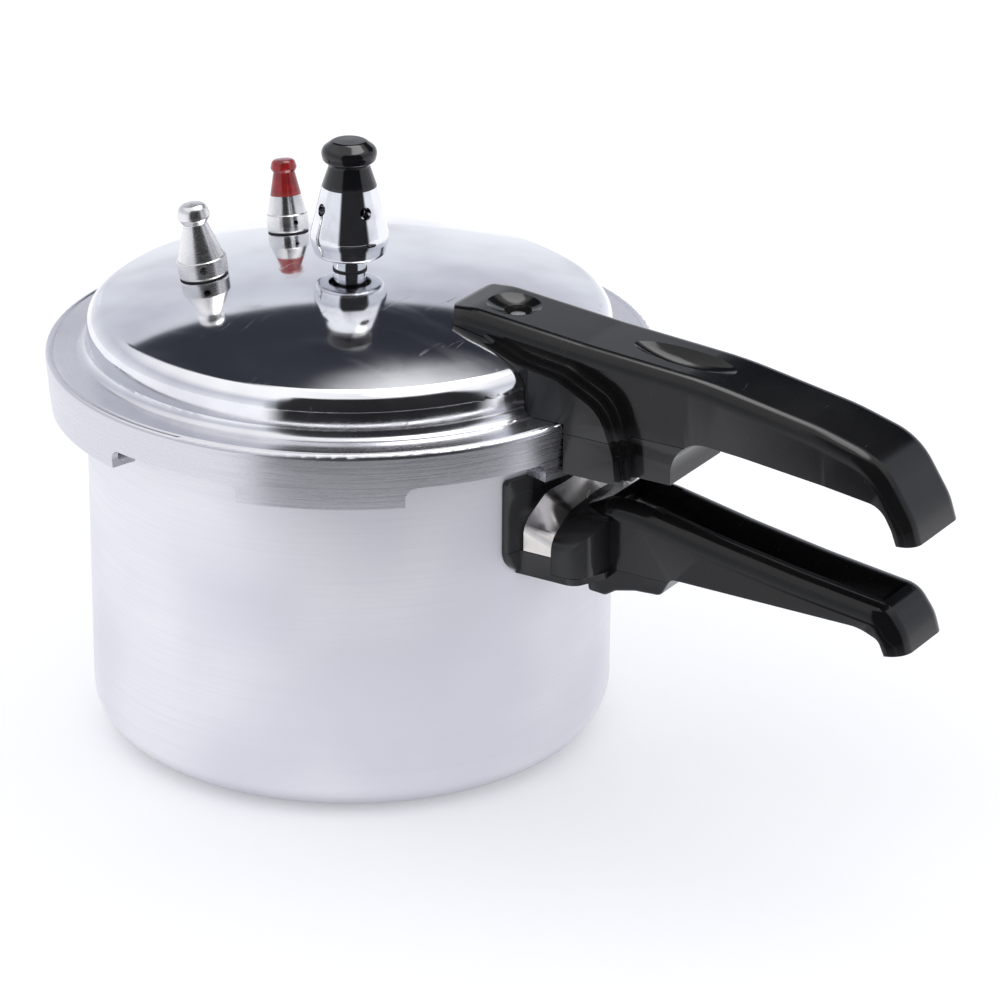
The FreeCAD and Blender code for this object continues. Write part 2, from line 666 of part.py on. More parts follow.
# ---------------------------------------------------------------- weight and vent
def make_weight():
    z0 = CROWN_TOP + WEIGHT_GAP
    k = WEIGHT_H / 45.9
    r = WEIGHT_D / 2
    top = z0 + 27.8 * k
    body = spin([
        (8.6, z0), (r - 1.75, z0, 2.2), (r, z0 + 7.2 * k, 9.0), (r - 4.8, top),
        (3.4, top), (3.4, top - 3.9 * k), (4.6, top - 3.9 * k, 0.3), (8.6, z0 + 17.0 * k, 1.0)])
    holes = []
    for i in range(4):
        hole = Part.makeCylinder(2.4, r + 5, V(0, 0, top - 8.1 * k), V(1, 0, 0))
        hole.rotate(V(0, 0, 0), V(0, 0, 1), 63.5 + 90 * i)
        holes.append(hole)
    keep("weight_body", body.cut(holes))
    c = top + 0.05
    s = r - 4.85
    cap = spin([
        (0, c), (s, c), (s * 0.73, c + 8.7 * k, 1.2), (s * 0.97, c + 10.3 * k, 1.8),
        (s * 1.05, c + 14.4 * k, 3.4), (s * 0.62, c + 17.8 * k, 3.0), (0, c + 18.05 * k)])
    socket = rod(2.2, c - 1, c + 7 * k)
    keep("weight_cap", cap.cut(socket))
    # seat pin: held in the body, its cone rests in the vent's mouth
    mouth = z0 + 14.2 * k
    pin = spin([
        (0, mouth - 2.4), (2.5, mouth + 1.0), (3.4, mouth + 2.2), (4.2, mouth + 4.5),
        (4.2, top - 4.1 * k), (3.3, top - 4.1 * k), (3.3, top), (2.1, top),
        (2.1, c + 6.6 * k), (0, c + 6.6 * k)])
    keep("weight_pin", pin)
    # vent pipe standing through the crown
    under = CROWN_TOP - LID_T
    v = VENT_D / 2
    pipe = spin([
        (VENT_BORE / 2, under - 9.0), (4.9, under - 9.0, 0.6), (4.9, CROWN_TOP + 0.6),
        (v, CROWN_TOP + 0.6), (v, z0 + 3.6 * k, 0.8), (4.4, z0 + 4.6 * k, 0.5),
        (3.4, mouth + 0.4, 0.6), (2.5, mouth + 0.4), (VENT_BORE / 2, mouth - 1.2)])
    groove = spin([(v - 0.5, CROWN_TOP + 3.2), (v + 1, CROWN_TOP + 3.2),
                   (v + 1, CROWN_TOP + 3.9), (v - 0.5, CROWN_TOP + 3.9)])
    keep("vent_pipe", pipe.cut(groove))
    washer = rod(v + 0.3, CROWN_TOP + 0.02, CROWN_TOP + 0.58).cut(rod(4.95, under, CROWN_TOP + 1))
    keep("vent_washer", washer)
    nut = hexagon(14.0, under - 5.0, under - 0.25).cut(rod(4.95, under - 9, under + 1))
    keep("vent_nut", nut)
    guard = spin([
        (5.0, under - 8.6), (9.5, under - 8.6, 1.0), (9.5, under - 13.6, 2.0),
        (0, under - 13.6), (0, under - 12.8), (8.7, under - 12.8, 1.2), (8.7, under - 9.4, 0.3),
        (5.0, under - 9.4)])
    slots = []
    for i in range(6):
        slot = box(7.0, 11.0, -1.0, 1.0, under - 12.0, under - 10.2)
        slot.rotate(V(0, 0, 0), V(0, 0, 1), 60 * i)
        slots.append(slot)
        drain = rod(0.8, under - 15, under - 12, 5.0)
        drain.rotate(V(0, 0, 0), V(0, 0, 1), 60 * i)
        slots.append(drain)
    keep("vent_guard", guard.cut(slots))


# ---------------------------------------------------------------- float indicator
def make_float():
    r = FLOAT_D / 2
    top = crown_z(FLOAT_X)
    low = crown_z(FLOAT_X, -LID_T)
    lean = crown_lean(FLOAT_X) * 5.0
    bush = spin([(r + 0.06, low - 4.0), (3.0, low - 4.0), (3.0, top + 0.7 + lean),
                 (4.4, top + 0.7 + lean), (4.4, top + 1.9 + lean, 0.4), (r + 0.06, top + 1.9 + lean)])
    bush.translate(V(FLOAT_X, 0, 0))
    keep("float_bush", bush)
    nut = hexagon(9.0, low - 3.6, low - 0.9 - lean, FLOAT_X).cut(rod(3.05, low - 9, low, FLOAT_X))
    keep("float_nut", nut)
    z1 = top + 2.0 + lean
    disc = low - 6.8 - FLOAT_LIFT
    pin = spin([
        (0, disc - 1.2), (4.6, disc - 1.2, 0.4), (4.6, disc, 0.4), (r, disc),
        (r, z1), (3.2, z1, 0.2), (3.2, z1 + 1.4, 0.6), (0, z1 + 1.4)])
    pin.translate(V(FLOAT_X, 0, 0))
    keep("float_pin", pin)
    seal = spin([(r + 0.02, disc + 0.05), (4.3, disc + 0.05, 0.7), (4.3, disc + 1.9, 0.7),
                 (r + 0.02, disc + 1.9)])
    seal.translate(V(FLOAT_X, 0, 0))
    keep("float_seal", seal)


# ---------------------------------------------------------------- safety valves
def make_valve(name, at, dia, height, k_neck, knob_d, knob_h, hole_r, hole_deg, lower):
    """A small spring valve standing square to the crown."""
    r = dia / 2
    ring = height * 0.25
    waist = height * 0.70 if lower is None else lower
    neck = height - knob_h - height * 0.02
    rn = r * k_neck
    g = VALVE_SEAL_T
    w_r = r * 0.93 + (rn - r * 0.93) * (waist - ring) / (neck - ring)
    cav = r * 0.66
    top_cav = waist - 1.5
    house = spin([
        (4.05, g), (r - 0.3, g, 0.3), (r, g + 0.8), (r, ring, 0.5), (r * 0.93, ring + 0.25),
        (w_r, waist), (1.3, waist), (1.3, top_cav), (w_r * 0.62, top_cav),
        (cav, ring + 1.4, 0.6), (cav, g + 2.0), (4.05, g + 2.0)])
    hole = Part.makeCylinder(hole_r, r + 3, V(0, 0, ring * 0.62), V(1, 0, 0))
    hole.rotate(V(0, 0, 0), V(0, 0, 1), hole_deg)
    keep(name + "_valve_housing", on_crown(house.cut(hole), at))
    kr = knob_d / 2
    knob = spin([
        (0, waist + 0.05), (w_r, waist + 0.05), (rn, neck, 0.6),
        (kr * 1.02, neck + knob_h * 0.34, knob_h * 0.28),
        (kr * 0.86, height - knob_h * 0.08, knob_h * 0.42), (0, height)])
    bore = rod(1.9, waist - 1, waist + (neck - waist) * 0.55)
    keep(name + "_valve_cap", on_crown(knob.cut(bore), at))
    washer = rod(r - 0.25, 0.12, g - 0.02).cut(rod(4.1, -1, g + 1))
    keep(name + "_valve_washer", on_crown(washer, at))
    low = -LID_T
    seat = spin([
        (1.2, low - 6.5), (4.0, low - 6.5, 0.5), (4.0, g + 2.05), (cav - 0.4, g + 2.05),
        (cav - 0.4, g + 3.4, 0.3), (2.7, g + 4.2), (1.2, g + 3.2)])
    keep(name + "_valve_seat", on_crown(seat, at))
    nut = hexagon(11.5, low - 4.4, low - 0.25).cut(rod(4.05, low - 9, low + 1))
    keep(name + "_valve_nut", on_crown(nut, at))
    s0 = g + 3.85
    plunger = spin([
        (0, g + 2.7), (1.15, g + 3.4), (2.3, s0 + 0.9), (3.3, s0 + 1.3), (3.3, s0 + 2.3, 0.3),
        (1.15, s0 + 2.5), (1.15, waist + (neck - waist) * 0.55 - PLUNGER_LIFT - 0.4), (0,
         waist + (neck - waist) * 0.55 - PLUNGER_LIFT - 0.4)])
    keep(name + "_valve_plunger", on_crown(plunger, at))
    coil_r = 2.0
    wire_r = 0.32
    z_a = s0 + 2.35 + wire_r + 0.25
    z_b = top_cav - wire_r - 0.05
    turns = 5.0
    helix = Part.makeHelix((z_b - z_a) / turns, z_b - z_a, coil_r)
    helix.translate(V(0, 0, z_a))
    start = Part.Wire(Part.makeCircle(wire_r, V(coil_r, 0, z_a), V(0, 1, 0.1)))
    spring = Part.Wire(helix).makePipeShell([start], True, True)
    keep(name + "_valve_spring", on_crown(spring, at))


def lid_holes():
    """Openings through the crown and the dome wall."""
    cuts = [rod(5.0, CROWN_TOP - 20, CROWN_TOP + 5), rod(3.05, CROWN_TOP - 30, CROWN_TOP + 5, FLOAT_X)]
    for at in (RED_AT, SILVER_AT):
        cuts.append(on_crown(rod(4.1, -12, 6), at))
    return cuts


# ---------------------------------------------------------------- build
pot = make_pot()
pot_rivet_holes = make_lower_parts()
keep("pot_body", pot.cut(pot_rivet_holes))
lid = make_lid()
lid_rivet_holes = make_handles()
keep("lid_shell", lid.cut(lid_holes() + lid_rivet_holes))
keep("gasket", make_gasket())
make_weight()
make_float()
make_valve("red", RED_AT, RED_D, RED_H, 0.52, 10.4, 4.8, 1.0, -31.5, 14.8)
make_valve("silver", SILVER_AT, SILVER_D, SILVER_H, 0.48, 12.6, 7.6, 1.4, -51.5, None)

os.makedirs("parts", exist_ok=True)
for name, shape in sorted(PARTS.items()):
    shape.exportStep(os.path.join("parts", name + ".step"))
    b = shape.BoundBox
    print("%-24s solids %d valid %s vol %9.1f  x %7.1f %7.1f y %7.1f %7.1f z %7.1f %7.1f" % (
        name, len(shape.Solids), shape.isValid(), shape.Volume,
        b.XMin, b.XMax, b.YMin, b.YMax, b.ZMin, b.ZMax))
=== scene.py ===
"""Stovetop pressure cooker: materials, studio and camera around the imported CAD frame."""
import json
import math

import bpy
from mathutils import Matrix, Vector


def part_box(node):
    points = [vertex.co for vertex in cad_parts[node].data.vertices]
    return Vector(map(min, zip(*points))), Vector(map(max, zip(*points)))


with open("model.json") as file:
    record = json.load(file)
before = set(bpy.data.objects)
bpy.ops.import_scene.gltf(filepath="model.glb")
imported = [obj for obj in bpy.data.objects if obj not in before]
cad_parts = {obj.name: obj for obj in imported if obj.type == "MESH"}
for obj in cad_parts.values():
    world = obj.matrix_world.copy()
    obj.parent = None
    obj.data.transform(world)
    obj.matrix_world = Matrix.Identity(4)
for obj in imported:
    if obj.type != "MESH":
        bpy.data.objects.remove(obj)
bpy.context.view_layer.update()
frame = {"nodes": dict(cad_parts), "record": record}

# ---------------------------------------------------------------- view: degrees, metres, mm of lens
CAM_AZIMUTH = 31.5
CAM_PITCH = 22.92
CAM_ROLL = 0.378
CAM_AT = (0.99024, -1.50415, 0.85117)
CAM_LENS = 179.12
CAM_SENSOR = 36.0
CAM_FAR = 50.0

# ---------------------------------------------------------------- studio, metres and degrees
FLOOR_HALF = 6.0
FLOOR_GAP = 0.0002       # floor below the foot, so that the two faces don't coincide
FLOOR_GLOW = 0.27
SKY_STRENGTH = 1.05
SKY_BAND_AT = 0.46       # height of the backdrop's darkest band, as the z of a direction
SKY_HIGH_AT = 0.75

CARD_R = 1.1             # flags and softboxes stand on a sphere of this radius, centred this high
CARD_Z = 0.17
CARD_STEP = 2.0          # between columns of a card
CARD_ROWS = 40
# each card's outline: azimuth, lowest and highest elevation
PANEL_BACK = [
    (58, 22, 48), (94, 24, 50), (107, 26, 52), (113, 31.5, 54), (121, 32, 57), (131, 32, 61),
    (141, 32, 64), (150, 32.5, 66), (158, 34, 64)]
SOFTBOX_TOP = [
    (-35, 66, 86), (0, 60, 86), (50, 54, 86), (100, 53, 86), (115, 55, 86), (128, 60, 86),
    (142, 66, 86)]
ROOM_BEHIND = [(-94, -9, 62), (-60, -9, 64), (-30, -9, 62), (6, -9, 58)]
SOFTBOX_STRENGTH = 5.0
# the dark room's reflection in the table: a ring sector on the floor
TABLE_AZ = (-92.0, 4.0)
TABLE_R = (0.26, 1.09)
TABLE_Z = 0.002
TABLE_GRID = (40, 30)

# ---------------------------------------------------------------- lid, metres above the flange
SATIN_TOP = (0.0005, 0.0055)     # the turned satin finish ends over this height
CROWN_BASE = 0.004               # the buffed crown begins over these two
CROWN_FULL = 0.014

VALVE_RINGS = 5200.0             # turning marks to a metre on the valves and the float

# ---------------------------------------------------------------- wear
METAL_TILT = (0.4, 0.2, 0.8)     # which way scratches run, radians
PLASTIC_TILT = (0.7, 0.2, 0.3)
MARK_DEPTH = 0.00003             # bump depths, metres
PEEL_DEPTH = 0.00002
POT_GRAIN_DEPTH = 0.00004
POT_MARK_DEPTH = 0.00005
GRAIN_DEPTH = 0.00005
CROWN_WAVE_DEPTH = 0.00006
MOULD_WAVE_DEPTH = 0.00020
GRIT_DEPTH = 0.00004
POT_FOOT_H = 0.022               # the foot is smoother below this height; below the next pair of heights its colour is darkened with painted shade
POT_FOOT_SHADE_Z = (0.003, 0.016)

# ---------------------------------------------------------------- colours, linear
FLOOR_WHITE = (0.90, 0.90, 0.91, 1)
FLOOR_SHADE = (0.86, 0.86, 0.88, 1)
SKY_LOW = (0.84, 0.86, 0.91, 1)
SKY_BAND = (0.60, 0.62, 0.69, 1)
SKY_HIGH = (1.0, 1.0, 1.02, 1)
SOFTBOX = (1.0, 0.99, 0.98, 1)
POT_GREY = (0.87, 0.86, 0.89, 1)
POT_GREY_DEEP = (0.73, 0.73, 0.785, 1)
# painted shade: the dark colour the pot's foot fades to near the floor
POT_FOOT = (0.40, 0.40, 0.44, 1)
LID_BRIGHT = (0.93, 0.94, 0.96, 1)
LID_SATIN = (0.66, 0.66, 0.70, 1)
PHENOLIC = (0.006, 0.006, 0.0065, 1)
PHENOLIC_GREY = (0.011, 0.0105, 0.010, 1)
STEEL = (0.62, 0.61, 0.60, 1)
BAND = (0.80, 0.77, 0.73, 1)
CHROME = (0.88, 0.89, 0.92, 1)
VALVE_ALU = (0.84, 0.83, 0.83, 1)
RED = (0.36, 0.012, 0.012, 1)
RED_DEEP = (0.20, 0.006, 0.008, 1)
CAP_BLACK = (0.006, 0.006, 0.007, 1)
RUBBER = (0.035, 0.035, 0.038, 1)
GASKET_GREY = (0.16, 0.16, 0.165, 1)
BRASS = (0.70, 0.47, 0.18, 1)
BLACK_CARD = (0.030, 0.034, 0.046, 1)
DARK_ROOM = (0.022, 0.022, 0.024, 1)
WHITE = (1, 1, 1, 1)
SCRATCH_PALE = (0.09, 0.09, 0.092, 1)
DUST = (0.25, 0.25, 0.25, 1)
RED_WORN = (0.55, 0.10, 0.08, 1)


def shaded(colour, r, g, b):
    return (colour[0] * r, colour[1] * g, colour[2] * b, 1)


# ---------------------------------------------------------------- node helpers
class Graph:
    """A material's node tree with short calls for the nodes used here."""

    def __init__(self, name):
        self.mat = bpy.data.materials.new(name)
        self.mat.use_nodes = True
        self.tree = self.mat.node_tree
        self.tree.nodes.clear()
        self.out = self.node("ShaderNodeOutputMaterial")
        self.coord = self.node("ShaderNodeTexCoord").outputs["Object"]

    def node(self, kind, ins=None, **props):
        n = self.tree.nodes.new(kind)
        for key, value in props.items():
            setattr(n, key, value)
        for key, value in (ins or {}).items():
            self.feed(n.inputs[key], value)
        return n

    def feed(self, socket, value):
        if isinstance(value, bpy.types.NodeSocket):
            self.tree.links.new(value, socket)
        else:
            socket.default_value = value

    def math(self, op, a, b=0.0):
        return self.node("ShaderNodeMath", {0: a, 1: b}, operation=op).outputs[0]

    def add(self, a, b):
        return self.math("ADD", a, b)

    def times(self, a, b):
        return self.math("MULTIPLY", a, b)

    def scaled(self, scale):
        return self.node("ShaderNodeMapping", {"Vector": self.coord, "Scale": scale}).outputs[0]

    def noise(self, scale, vector=None, detail=3.0, rough=0.55, distort=0.0):
        n = self.node("ShaderNodeTexNoise", {
            "Vector": vector or self.coord, "Scale": scale, "Detail": detail,
            "Roughness": rough, "Distortion": distort})
        return n.outputs["Fac"]

    def ramp(self, value, low, high, to_low=0.0, to_high=1.0):
        """to_low where value is under low, to_high where it is over high, smooth between."""
        n = self.node("ShaderNodeMapRange", {
            "Value": value, "From Min": low, "From Max": high, "To Min": to_low, "To Max": to_high},
            interpolation_type="SMOOTHSTEP")
        return n.outputs["Result"]

    def mix(self, fac, a, b):
        n = self.node("ShaderNodeMix", {0: fac, 6: a, 7: b}, data_type="RGBA")
        return n.outputs[2]

    def mix_value(self, fac, a, b):
        return self.node("ShaderNodeMix", {0: fac, 2: a, 3: b}).outputs[0]

    def height(self):
        return self.node("ShaderNodeSeparateXYZ", {0: self.coord}).outputs[2]

    def around_z(self):
        return self.node("ShaderNodeTangent", direction_type="RADIAL", axis="Z").outputs[0]

    def turned(self, around, along, center=(0, 0, 0)):
        """Coordinates stretched round the Z axis through center, for turned or brushed rings."""
        moved = self.node("ShaderNodeVectorMath", {0: self.coord, 1: center}, operation="SUBTRACT")
        sep = self.node("ShaderNodeSeparateXYZ", {0: moved.outputs[0]})
        x, y, z = sep.outputs
        radius = self.math("SQRT", self.add(self.times(x, x), self.times(y, y)))
        angle = self.math("ARCTAN2", y, x)
        ring = self.node("ShaderNodeCombineXYZ", {
            0: self.times(angle, around), 1: self.times(radius, along), 2: self.times(z, along)})
        return ring.outputs[0]

    def scratches(self, density, width, tilt):
        """Sparse thin scratches: the zero line of a stretched noise, broken up by a second one."""
        turn = self.node("ShaderNodeMapping", {
            "Vector": self.coord, "Rotation": tilt, "Scale": (1.0, 0.10, 0.45)}).outputs[0]
        line = self.math("ABSOLUTE", self.math("SUBTRACT", self.noise(density, turn, detail=2.0), 0.5))
        thin = self.ramp(line, 0.0, width, 1.0, 0.0)
        broken = self.ramp(self.noise(density * 0.35), 0.56, 0.66)
        return self.times(thin, broken)

    def bump(self, height, distance, strength=1.0, under=None):
        ins = {"Height": height, "Distance": distance, "Strength": strength}
        if under is not None:
            ins["Normal"] = under
        return self.node("ShaderNodeBump", ins).outputs[0]

    def surface(self, **ins):
        """Finish with a principled surface; the names are its sockets', with _ for a space."""
        names = {key.replace("_", " "): value for key, value in ins.items()}
        bsdf = self.node("ShaderNodeBsdfPrincipled", names)
        self.tree.links.new(bsdf.outputs[0], self.out.inputs["Surface"])
        return self.mat

    def edge_wear(self, low, high):
        """1 on outer edges, by how far the surface points outwards."""
        geometry = self.node("ShaderNodeNewGeometry")
        return self.ramp(geometry.outputs["Pointiness"], low, high)


# ---------------------------------------------------------------- metals
def pot_satin():
    """Satin sheet with brushing round the pot, faint clouding, and painted shade darkening the foot's
    colour towards the floor.
    """
    g = Graph("pot_satin")
    z = g.height()
    grain = g.noise(1.0, g.turned(around=2.0, along=900.0), detail=4.0, rough=0.7)
    cloud = g.noise(9.0, detail=2.0)
    low = g.ramp(z, 0.0, POT_FOOT_H, 1.0, 0.0)
    colour = g.mix(g.ramp(cloud, 0.38, 0.66), POT_GREY, POT_GREY_DEEP)
    colour = g.mix(g.times(g.ramp(grain, 0.3, 0.7), 0.25), colour, POT_GREY_DEEP)
    # painted shade: the colour darkens towards the floor, standing in for the dark contact reflection
    # at the foot's edge
    foot = g.ramp(g.add(z, g.times(cloud, 0.006)), *POT_FOOT_SHADE_Z, to_low=0.75, to_high=0.0)
    colour = g.mix(foot, colour, POT_FOOT)
    marks = g.scratches(70.0, 0.010, (0.3, 0.5, 0.9))
    rough = g.add(g.ramp(grain, 0.25, 0.75, 0.40, 0.50), g.times(low, -0.10))
    rough = g.math("SUBTRACT", rough, g.times(marks, 0.10))
    normal = g.bump(grain, POT_GRAIN_DEPTH, 0.30)
    normal = g.bump(marks, POT_MARK_DEPTH, 0.25, normal)
    return g.surface(Base_Color=colour, Metallic=0.5, Roughness=rough, Normal=normal,
                     Anisotropic=0.25, Tangent=g.around_z())


def lid_metal(flange_z):
    """Buffed crown, softer shoulder below it, and turned satin from the flange down."""
    g = Graph("lid_metal")
    z = g.height()
    grain = g.noise(1.0, g.turned(around=3.0, along=1100.0), detail=4.0, rough=0.65)
    mirror = g.ramp(z, flange_z + SATIN_TOP[0], flange_z + SATIN_TOP[1])
    crown = g.ramp(z, flange_z + CROWN_BASE, flange_z + CROWN_FULL)
    cloud = g.noise(14.0, detail=3.0)
    smear = g.noise(26.0, g.scaled((1.0, 2.6, 1.0)), detail=4.0, rough=0.6, distort=0.8)
    fine = g.scratches(120.0, 0.006, (0.2, 0.1, 0.6))
    cross = g.scratches(90.0, 0.005, (0.1, 0.3, 2.1))
    marks = g.math("MAXIMUM", fine, cross)
    tone = g.mix(g.ramp(cloud, 0.35, 0.7), LID_BRIGHT, LID_SATIN)
    colour = g.mix(mirror, LID_SATIN, tone)
    buffed = g.add(g.ramp(smear, 0.42, 0.75, 0.075, 0.125), g.times(marks, 0.20))
    shoulder = g.ramp(smear, 0.42, 0.75, 0.17, 0.23)
    satin = g.ramp(grain, 0.25, 0.75, 0.22, 0.34)
    rough = g.mix_value(mirror, satin, g.mix_value(crown, shoulder, buffed))
    grain_depth = g.times(g.math("SUBTRACT", 1.02, mirror), grain)
    normal = g.bump(grain_depth, GRAIN_DEPTH, 0.35)
    normal = g.bump(g.noise(34.0, detail=1.0), CROWN_WAVE_DEPTH, 0.14, normal)
    normal = g.bump(marks, MARK_DEPTH, 0.25, normal)
    return g.surface(Base_Color=colour, Metallic=1.0, Roughness=rough, Normal=normal,
                     Anisotropic=g.times(g.math("SUBTRACT", 1.0, mirror), 0.2),
                     Tangent=g.around_z())


def polished_metal(name, colour, rough_low, rough_high, grain_scale, mark=0.15):
    """Pressed or plated metal with clouding and scratches; mark is how dull a scratch is."""
    g = Graph(name)
    cloud = g.noise(grain_scale, detail=3.0)
    marks = g.scratches(grain_scale * 3.0, 0.012, METAL_TILT)
    tone = g.mix(g.ramp(cloud, 0.4, 0.72), colour, shaded(colour, 0.82, 0.82, 0.83))
    rough = g.add(g.ramp(cloud, 0.35, 0.7, rough_low, rough_high), g.times(marks, mark))
    normal = g.bump(g.noise(grain_scale * 8.0), MARK_DEPTH, 0.15)
    normal = g.bump(marks, MARK_DEPTH, 0.3, normal)
    return g.surface(Base_Color=tone, Metallic=1.0, Roughness=rough, Normal=normal)


def turned_metal(name, colour, center, pitch, rough_low, rough_high):
    """Lathe-turned part: fine rings round its own axis, pitch of them to a metre."""
    g = Graph(name)
    grain = g.noise(1.0, g.turned(around=0.6, along=pitch, center=center), detail=3.0, rough=0.6)
    cloud = g.noise(70.0)
    marks = g.scratches(220.0, 0.012, METAL_TILT)
    tone = g.mix(g.ramp(cloud, 0.38, 0.75, 0.0, 0.8), colour, shaded(colour, 0.72, 0.72, 0.73))
    rough = g.add(g.ramp(grain, 0.25, 0.75, rough_low, rough_high), g.times(marks, 0.15))
    normal = g.bump(grain, GRAIN_DEPTH, 0.28)
    return g.surface(Base_Color=tone, Metallic=1.0, Roughness=rough, Normal=normal)


# ---------------------------------------------------------------- plastics and rubber
def moulded_black(name, colour, grey, rough_low, rough_high, gloss):
    """Gloss phenolic: faint orange peel, handling haze, hairline scratches, dust, pale edges."""
    g = Graph(name)
    haze = g.noise(22.0, detail=4.0, distort=0.4)
    peel = g.noise(900.0, detail=1.0)
    wave = g.noise(60.0, detail=1.0)
    marks = g.scratches(150.0, 0.007, PLASTIC_TILT)
    dust = g.ramp(g.noise(1500.0, detail=1.0), 0.74, 0.80)
    worn = g.edge_wear(0.53, 0.62)
    tone = g.mix(g.ramp(haze, 0.35, 0.75, 0.0, 0.55), colour, grey)
    pale = g.times(g.math("MAXIMUM", g.times(marks, 0.5), worn), 0.30)
    tone = g.mix(pale, tone, SCRATCH_PALE)
    tone = g.mix(g.times(dust, 0.18), tone, DUST)
    rough = g.add(g.ramp(haze, 0.3, 0.75, rough_low, rough_high), g.times(marks, 0.2))
    normal = g.bump(peel, PEEL_DEPTH, 0.10)
    normal = g.bump(wave, MOULD_WAVE_DEPTH, 0.10, normal)
    normal = g.bump(marks, MARK_DEPTH, 0.3, normal)
    return g.surface(Base_Color=tone, Roughness=rough, Normal=normal, Specular_IOR_Level=gloss,
                     Coat_Weight=0.08, Coat_Roughness=0.05)


def red_plastic():
    """Gloss red cap, mottled, scratched and paler along its edges."""
    g = Graph("red_gloss")
    haze = g.noise(160.0, detail=3.0)
    marks = g.scratches(260.0, 0.010, PLASTIC_TILT)
    tone = g.mix(g.ramp(haze, 0.35, 0.7), RED, RED_DEEP)
    tone = g.mix(g.times(g.edge_wear(0.52, 0.60), 0.25), tone, RED_WORN)
    rough = g.add(g.ramp(haze, 0.3, 0.7, 0.16, 0.28), g.times(marks, 0.2))
    normal = g.bump(g.noise(1200.0, detail=1.0), PEEL_DEPTH, 0.12)
    return g.surface(Base_Color=tone, Roughness=rough, Normal=normal, Specular_IOR_Level=0.5,
                     Coat_Weight=0.4, Coat_Roughness=0.06, Subsurface_Weight=0.05,
                     Subsurface_Scale=0.002)


def rubber(name, colour):
    """Matt rubber with a gritty surface."""
    g = Graph(name)
    cloud = g.noise(40.0, detail=4.0)
    grit = g.noise(1100.0, detail=2.0)
    tone = g.mix(g.ramp(cloud, 0.35, 0.75), colour, shaded(colour, 1.7, 1.7, 1.7))
    rough = g.ramp(grit, 0.3, 0.7, 0.58, 0.78)
    normal = g.bump(grit, GRIT_DEPTH, 0.35)
    return g.surface(Base_Color=tone, Roughness=rough, Normal=normal, Sheen_Weight=0.1)


# ---------------------------------------------------------------- give every node its material
def center_of(node):
    """Middle of a node's box, for rings round its own axis."""
    low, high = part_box(node)
    return tuple((a + b) / 2 for a, b in zip(low, high))


def materials():
    """Each node gets the material of its slot; turned valve parts get one per valve."""
    flange_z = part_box("gasket")[1][2]
    mats = {
        "pot_aluminium": pot_satin(),
        "lid_aluminium": lid_metal(flange_z),
        "black_phenolic": moulded_black("phenolic", PHENOLIC, PHENOLIC_GREY, 0.10, 0.19, gloss=0.30),
        "steel": polished_metal("steel", STEEL, 0.22, 0.36, 90.0),
        "band_steel": polished_metal("band_steel", BAND, 0.12, 0.24, 45.0, mark=0.25),
        "weight_chrome": polished_metal("weight_chrome", CHROME, 0.03, 0.07, 90.0, mark=0.10),
        "red_plastic": red_plastic(),
        "black_plastic": moulded_black("cap_black", CAP_BLACK, PHENOLIC_GREY, 0.08, 0.16, gloss=0.5),
        "seal_rubber": rubber("seal_rubber", RUBBER),
        "gasket_rubber": rubber("gasket_rubber", GASKET_GREY),
        "brass": turned_metal("brass", BRASS, center_of("float_bush"), 5000.0, 0.18, 0.30),
    }
    turned = {
        "red": turned_metal("red_valve_alu", VALVE_ALU, center_of("red_valve_housing"),
                            VALVE_RINGS, 0.12, 0.26),
        "silver": turned_metal("silver_valve_alu", VALVE_ALU, center_of("silver_valve_housing"),
                               VALVE_RINGS, 0.20, 0.34),
        "float": turned_metal("float_alu", STEEL, center_of("float_pin"), VALVE_RINGS, 0.22, 0.36),
    }
    for part in frame["record"]["subparts"]:
        name = part["node"]
        mat = mats.get(part["material_slot"]) or turned[name.split("_")[0]]
        data = frame["nodes"][name].data
        if not data.materials:
            data.materials.append(mat)
        for i in range(len(data.materials)):
            data.materials[i] = mat


# ---------------------------------------------------------------- studio
def fading_patch(name, rows, fades, colour, strength):
    """A flag or softbox seen only in reflections. rows is a grid of points, and fades holds, for
    each of them, how much of the patch is there, from 0 at a soft edge to 1."""
    across = len(rows[0])
    verts = [p for row in rows for p in row]
    faces = []
    for i in range(len(rows) - 1):
        for k in range(across - 1):
            a = i * across + k
            faces.append((a, a + 1, a + across + 1, a + across))
    mesh = bpy.data.meshes.new(name)
    mesh.from_pydata(verts, [], faces)
    fade = mesh.attributes.new("fade", "FLOAT", "POINT")
    for i, value in enumerate(v for row in fades for v in row):
        fade.data[i].value = value
    g = Graph(name)
    shade = g.node("ShaderNodeEmission", {"Color": colour, "Strength": strength})
    clear = g.node("ShaderNodeBsdfTransparent")
    amount = g.node("ShaderNodeAttribute", attribute_name="fade").outputs["Fac"]
    both = g.node("ShaderNodeMixShader", {0: amount, 1: clear.outputs[0], 2: shade.outputs[0]})
    g.tree.links.new(both.outputs[0], g.out.inputs["Surface"])
    mesh.materials.append(g.mat)
    obj = bpy.data.objects.new(name, mesh)
    bpy.context.scene.collection.objects.link(obj)
    obj.visible_camera = False
    obj.visible_diffuse = False
    obj.visible_shadow = False
    obj.visible_transmission = False


def ease(distance, width):
    """0 at the edge, 1 once width inside it, smooth between."""
    t = min(1.0, max(0.0, distance / width))
    return t * t * (3 - 2 * t)


def spread(points):
    """Outline points filled in between, so that the patch is smooth."""
    out = []
    for a, b in zip(points, points[1:]):
        n = max(1, int(round((b[0] - a[0]) / CARD_STEP)))
        for i in range(n):
            t = i / n
            out.append(tuple(a[j] + (b[j] - a[j]) * t for j in range(3)))
    out.append(points[-1])
    return out


